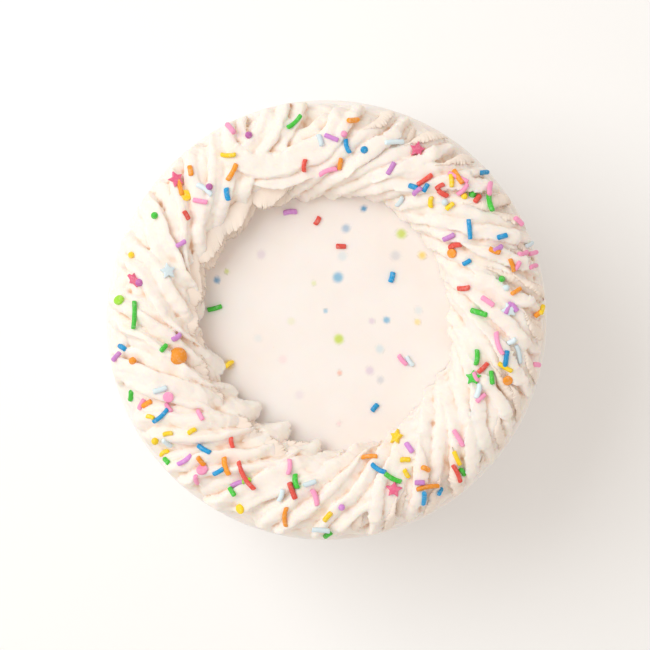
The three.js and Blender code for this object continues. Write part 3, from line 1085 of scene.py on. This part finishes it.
# Handfuls dropped where the sprinkles lie thickest: degrees, millimetres, colours of the rods
handfuls = [
    (8, 60, "lavender lavender"),
    (22, 64, "blue orange lavender"),
    (38, 62, "pink green"),
    (48, 59, "yellow yellow orange red"),
    (86, 57, "pale lavender blue"),
    (118, 62, "yellow orange"),
    (137, 62, "pink orange orange"),
    (188, 63, "blue"),
    (206, 64, "pale pink blue"),
    (222, 64, "lavender blue yellow orange"),
    (238, 60, "green lavender"),
    (262, 59, "pink pale"),
    (299, 57, "yellow green orange"),
    (313, 63, "pink"),
    (344, 58, "yellow pink red"),
]

# Small balls: colour, degrees, millimetres
balls = [
    ("green", 13.1, 59.8),
    ("blue", 77.3, 57.8),
    ("purple", 112.9, 66.4),
    ("green", 148.6, 66.7),
    ("orange", 192.1, 66.2),
    ("lavender", 274.5, 62.4),
]

# The rods on the smooth top: colour, degrees, millimetres, heading, length
onTop = [
    ("lavender", 108.7, 38.5, 5, 4.7),
    ("red", 95.4, 33.9, 60, 3.2),
    ("red", 78.9, 25.5, 178, 3.4),
    ("blue", 33.3, 26.5, 75, 3.7),
    ("blue", 298.9, 34, 50, 3.2),
    ("pink", 332.4, 29.2, 130, 4.4),
    ("pale", 333.8, 31.6, 125, 4),
]

# More rods, too small to be in the solids: degrees, millimetres, heading and length for each colour
smallRods = {
    "pink": [
        (6.5, 53.9, -35, 5.1), (14.3, 71.3, 20, 4.1), (17.9, 72.6, 15, 4.7), (18.8, 69.1, 15, 4.7),
        (27.2, 72.0, 140, 4.1), (38.8, 69.6, 80, 6.4), (89.4, 49.3, 20, 6.4), (116.7, 71.1, -52, 6.1),
        (204.7, 67.9, 60, 4.1), (217.1, 52.7, 120, 4.1), (230.7, 68.5, 100, 4.4), (255.5, 50.6, 85, 5.4),
        (333.1, 57.4, 40, 4.1), (347.8, 71.9, -5, 3.4), (16.0, 66.0, 60, 3.6),
    ],
    "orange": [
        (8.5, 63.7, 30, 4.7), (16.5, 64.3, 110, 4.7), (82.6, 67.1, 10, 5.4), (85.0, 52.2, 80, 4.1),
        (205.1, 66.2, 30, 4.1), (235.6, 58.9, -75, 6.4), (287.4, 48.1, 5, 5.4), (2.0, 71.0, 40, 3.6),
    ],
    "red": [
        (13.3, 47.0, 5, 4.4), (29.8, 49.6, 12, 5.1), (38.7, 64.3, 50, 3.4), (47.5, 57.3, 150, 4.1),
        (55.0, 56.9, 35, 6.1), (98.1, 51.9, 85, 4.4), (143.4, 58.3, -60, 3.4), (232.3, 51.7, -80, 3.8),
        (258.7, 57.9, -70, 6.1),
    ],
    "blue": [
        (22.4, 50.6, 30, 3.2), (43.0, 72.3, 10, 4.4), (53.1, 54.9, 60, 3.2), (56.9, 52.8, 160, 3.2),
        (128.2, 53.3, -80, 4.4), (234.4, 61.9, 30, 4.1), (289.4, 52.3, -30, 5.7), (298.6, 67.4, 88, 6.4),
        (303.3, 68.7, 60, 3.4), (347.8, 61.0, 82, 5.7),
    ],
    "green": [
        (2.7, 50.9, -18, 6.1), (173.9, 38.2, 15, 5.1), (189.9, 55.0, 50, 3.4), (201.1, 70.4, 80, 4.4),
        (221.5, 71.4, -45, 3.4), (259.5, 54.6, -80, 5.1), (270.4, 72.0, 40, 4.1), (311.7, 67.8, 130, 3.4),
        (340.7, 58.2, -85, 4.7), (345.9, 51.4, 85, 5.4),
    ],
    "lime": [(243.7, 59.9, 20, 3.2)],
    "yellow": [
        (2.7, 72.0, 70, 4.1), (42.7, 55.8, 40, 3.4), (209.0, 67.0, -15, 3.2), (219.6, 70.4, 30, 5.1),
        (219.7, 58.2, 30, 3.2), (270.4, 65.5, 50, 4.1), (297.5, 57.5, 120, 3.4), (313.4, 63.2, -65, 5.4),
        (204.5, 36.4, 35, 4.1),
    ],
    "lavender": [
        (34.2, 49.2, 25, 4.4), (54.8, 52.5, 40, 4.1), (66.9, 54.7, 60, 4.7), (152.4, 54.7, 30, 3.7),
        (186.5, 50.5, 35, 3.7), (190.1, 71.2, 50, 4.1), (299.8, 62.3, 0, 3.4), (302.9, 50.7, -55, 4.1),
    ],
    "pale": [
        (20.6, 72.4, 30, 4.1), (58.4, 46.8, 55, 4.7), (133.3, 59.4, -35, 6.1), (217.5, 67.1, -40, 4.7),
        (255.2, 60.1, 70, 4.7), (268.5, 70.0, -5, 6.1), (334.8, 55.5, 75, 5.1), (349.8, 64.7, -78, 6.4),
        (353.7, 62.0, 30, 3.2),
    ],
}
smallBalls = {
    "pale": [(10.0, 60.5), (44.9, 55.5)],
    "green": [(40.8, 64.1)],
    "yellow": [(42.0, 61.6), (161.6, 68.5), (215.2, 69.7)],
    "pink": [(84.8, 62.1)],
    "purple": [(131.4, 59.0), (168.5, 63.3)],
}


def newSpot(kind, colour, angle, radius, heading=0, length=0):
    return {"kind": kind, "colour": colour, "angle": angle, "radius": radius,
            "heading": heading, "length": length}


def ropeSpots():
    draw = makeDraw(sugar["placeSeed"])
    spots = []
    for kind, colour, angle, radius, *rest in largest:
        heading = 360 * next(draw)
        spots.append(newSpot(kind, colour, angle, radius, *(rest or (heading,))))
    shortest, longest = sugar["rodShortest"], sugar["rodLongest"]
    for angle, radius, colours in handfuls:
        for colour in colours.split():
            about = angle + sugar["spread"]["along"] * (next(draw) - 0.5)
            reach = radius + sugar["spread"]["across"] * (next(draw) - 0.5)
            heading, length = 360 * next(draw), mixed(shortest, longest, next(draw) ** sugar["shorter"])
            spots.append(newSpot("rod", colour, about, reach, heading, length))
    return spots + [newSpot("ball", *ball) for ball in balls]


def smallSpots():
    return [
        newSpot(kind, colour, *place)
        for kind, found in (("rod", smallRods), ("ball", smallBalls))
        for colour, places in found.items()
        for place in places
    ]


halfThick = {
    "rod": sugar["rodRadius"],
    "disc": sugar["discThickness"] / 2,
    "ball": sugar["ballRadius"],
    "pearl": sugar["pearlRadius"],
    "star": sugar["starThickness"] / 2,
}


def lie(spot, heightAt):  # the matrix that lays a sprinkle on the surface, tilted to where it touches
    turned, heading = math.radians(spot["angle"]), math.radians(spot["heading"])
    x, y = spot["radius"] * math.cos(turned), spot["radius"] * math.sin(turned)
    grip = spot["length"] / 2 if spot["kind"] == "rod" else halfThick[spot["kind"]] + sugar["beyond"]

    def slope(direction):
        dx, dy = grip * math.cos(direction), grip * math.sin(direction)
        found = (heightAt(x + dx, y + dy) - heightAt(x - dx, y - dy)) / (2 * grip)
        return max(-sugar["steepest"], min(sugar["steepest"], found))

    along = Vector((math.cos(heading), math.sin(heading), slope(heading))).normalized()
    aside = Vector((-math.sin(heading), math.cos(heading), slope(heading + math.pi / 2)))
    up = along.cross(aside).normalized()
    side = up.cross(along)
    steep = along.z / math.hypot(along.x, along.y)
    resting, ahead = heightAt(x, y), Vector((math.cos(heading), math.sin(heading)))
    for k in sugar["feltAt"]:
        found = heightAt(x + k * grip * ahead.x, y + k * grip * ahead.y) - k * grip * steep
        resting = max(resting, mixed(resting, found, sugar["bridging"]))
    middle = Vector((x, y, resting)) + up * halfThick[spot["kind"]] * (1 - 2 * sugar["sunk"])
    reach = halfThick[spot["kind"]] * sugar["clear"] + abs(along.z) * grip
    middle.z = min(middle.z, rope["topmost"] - reach)
    return Matrix.Translation(middle) @ Matrix((along, side, up)).transposed().to_4x4()


def roundEdges(bm, edges, offset, segments):
    bmesh.ops.bevel(bm, geom=edges, offset=offset, segments=segments, affect="EDGES", profile=0.5,
                    material=-1)


def runOf(edge, axis):
    return abs(edge.verts[0].co[axis] - edge.verts[1].co[axis])


def rodShape(bm, length, draw):
    radius = sugar["rodRadius"] * varied(draw, *sugar["rodVaries"])
    bmesh.ops.create_cone(bm, cap_ends=True, segments=sugar["rodSides"], radius1=radius, radius2=radius,
                          depth=length, matrix=Matrix.Rotation(math.pi / 2, 4, "Y"))
    roundEdges(bm, [edge for edge in bm.edges if runOf(edge, 0) < 1e-6], radius * sugar["rodEnds"], 2)
    bmesh.ops.subdivide_edges(bm, edges=[edge for edge in bm.edges if runOf(edge, 0) > length / 3], cuts=3)
    bow = sugar["bow"] * length * varied(draw, -1, 2)
    for vert in bm.verts:
        vert.co.y += bow * (1 - (2 * vert.co.x / length) ** 2)


def discShape(bm, draw):
    radius = sugar["discRadius"] * varied(draw, *sugar["discVaries"])
    bmesh.ops.create_cone(bm, cap_ends=True, segments=sugar["discSides"], radius1=radius, radius2=radius,
                          depth=sugar["discThickness"])
    roundEdges(bm, [edge for edge in bm.edges if runOf(edge, 2) < 1e-6], sugar["discEdge"], 3)


def starShape(bm, draw):
    thickness = sugar["starThickness"]
    count, radius = sugar["starCorners"], sugar["starRadius"]
    corners = bmesh.ops.create_circle(bm, cap_ends=True, segments=count, radius=radius)["verts"]
    nearlyRound = 2 * math.pi - 1e-4
    corners.sort(key=lambda corner: math.atan2(corner.co.y, corner.co.x) % nearlyRound)
    for number, corner in enumerate(corners):
        corner.co *= (sugar["starWaist"] if number % 2 else 1) * varied(draw, *sugar["starVaries"])
        corner.co.z = -thickness / 2
    raised = bmesh.ops.extrude_face_region(bm, geom=bm.faces[:])["geom"]
    tops = [item for item in raised if isinstance(item, bmesh.types.BMVert)]
    bmesh.ops.translate(bm, verts=tops, vec=(0, 0, thickness))
    bmesh.ops.recalc_face_normals(bm, faces=bm.faces)
    roundEdges(bm, bm.edges[:], sugar["starEdge"], 2)


def ballShape(bm, radius, detail):
    bmesh.ops.create_icosphere(bm, subdivisions=detail, radius=radius)


makeShape = {
    "rod": lambda bm, spot, draw: rodShape(bm, spot["length"], draw),
    "disc": lambda bm, spot, draw: discShape(bm, draw),
    "star": lambda bm, spot, draw: starShape(bm, draw),
    "ball": lambda bm, spot, draw: ballShape(bm, sugar["ballRadius"] * varied(draw, *sugar["ballVaries"]), 3),
    "pearl": lambda bm, spot, draw: ballShape(bm, sugar["pearlRadius"], 4),
}


coat = {
    "spread": (1.0, 0.8, 0.6),  # how far red, green and blue light spread in sugar
    "depth": 0.6,
    "glow": 0.12,
    "gloss": 0.45,
    "mottle": (0.9, 0.45, 0.8, 0.22),  # size, from, to and strength
    "paler": linear(249, 247, 243),
    "fineGrain": (0.35, 3, 0.6),
    "roughness": (0.38, 0.2),
    "relief": (0.06, 0.5),
}


def sugarFinish():
    finish = Finish("sugarCoat", Subsurface_Weight=coat["glow"], Subsurface_Radius=coat["spread"],
                    Subsurface_Scale=coat["depth"] * mm, Specular_IOR_Level=coat["gloss"])
    size, low, high, strength = coat["mottle"]
    mottle = finish.grain(size, 3).between(low, high) * strength
    finish.set("Base Color", finish.mix(mottle, finish.attribute("sugarColour", "Color"), coat["paler"]))
    fine = finish.grain(*coat["fineGrain"])
    least, more = coat["roughness"]
    finish.set("Roughness", least + more * fine)
    finish.set("Normal", finish.bump(fine, *coat["relief"]))
    return finish.material


sugarCoat = sugarFinish()


def strew(kind, name, spotsAndTrees):
    joined = bmesh.new()
    colours = joined.verts.layers.float_color.new("sugarColour")
    draw = makeDraw(sugar["seed"])
    for spot, tree in spotsAndTrees:
        if spot["kind"] != kind:
            continue
        single = bmesh.new()
        makeShape[kind](single, spot, draw)
        bmesh.ops.transform(single, matrix=lie(spot, heightFinder(tree)), verts=single.verts)
        first = len(joined.verts)
        part = meshFrom(single, "single")
        joined.from_mesh(part)
        bpy.data.meshes.remove(part)
        joined.verts.ensure_lookup_table()
        shade = varied(draw, *sugar["shades"])
        tone = (*(value * shade for value in sugar["colours"][spot["colour"]][:3]), 1)
        for vert in joined.verts[first:]:
            vert[colours] = tone
    mesh = meshFrom(joined, name)
    toMetres(mesh)
    smoothShade(mesh)
    mesh.materials.append(sugarCoat)
    piece = newObject(name, mesh)
    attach(piece, "root")
    print(name, len(mesh.polygons), "faces")


everySpot = [(spot, ropeTree) for spot in ropeSpots() + smallSpots()]
everySpot += [(newSpot("rod", *rod), cakeTree) for rod in onTop]
for name in ("sugarRods", "sugarDiscs", "sugarStars", "sugarBalls", "sugarPearl"):
    strew(name.removeprefix("sugar").removesuffix("s").lower(), name, everySpot)


studio = {  # in metres where no other unit is named
    "floorSize": 3.0,
    "floor": linear(250, 249, 248),
    "cameraHeight": 0.9,
    "rimHeight": 0.088,  # of the plane on which the picture's scale holds
    "pixelsPerMm": 2.96,
    "pictureWidth": 650,  # pixels
    "middle": (326.5, 320.0),  # pixel of the photograph at the middle of the cake
    "sensor": 36,  # millimetres
    "aim": (0, 0, 0.09),
    "keyEnergy": 7.1,
    "keySize": 0.85,
    "keyPlace": (-0.68, 0.3, 0.98),
    "keyColour": (0.935, 0.98, 1.0),
    "fillStrength": 0.755,
    "fillColour": (1.0, 0.95, 0.895, 1),
}


def layFloor():
    bm = bmesh.new()
    bmesh.ops.create_grid(bm, x_segments=8, y_segments=8, size=studio["floorSize"] / 2)
    floor = newObject("floor", meshFrom(bm, "floor"))
    finish = Finish("paleFloor", Roughness=0.8, Specular_IOR_Level=0.2)
    finish.set("Base Color", studio["floor"])
    floor.data.materials.append(finish.material)


def hangLights():
    data = bpy.data.lights.new("key", "AREA")
    data.energy = studio["keyEnergy"]
    data.size = studio["keySize"]
    data.color = studio["keyColour"]
    key = bpy.data.objects.new("key", data)
    key.location = studio["keyPlace"]
    aim = Vector(studio["aim"]) - key.location
    key.rotation_euler = aim.to_track_quat("-Z", "Y").to_euler()
    bpy.context.scene.collection.objects.link(key)
    world = bpy.data.worlds.new("studio")
    world.use_nodes = True
    back = world.node_tree.nodes["Background"]
    back.inputs["Color"].default_value = studio["fillColour"]
    back.inputs["Strength"].default_value = studio["fillStrength"]
    bpy.context.scene.world = world


def setCamera():
    data = bpy.data.cameras.new("camera")
    camera = bpy.data.objects.new("camera", data)
    perPixel = mm / studio["pixelsPerMm"]
    away = studio["cameraHeight"] - studio["rimHeight"]
    width = studio["pictureWidth"] * perPixel
    data.sensor_width = studio["sensor"]
    data.lens = data.sensor_width * away / width
    middleX, middleY = studio["middle"]
    half = studio["pictureWidth"] / 2
    camera.location = ((half - middleX) * perPixel, (middleY - half) * perPixel, studio["cameraHeight"])
    data.clip_start = 0.01
    data.clip_end = 20
    bpy.context.scene.collection.objects.link(camera)
    bpy.context.scene.camera = camera


layFloor()
hangLights()
setCamera()
bpy.context.scene.view_settings.view_transform = "Standard"
print("studio done")
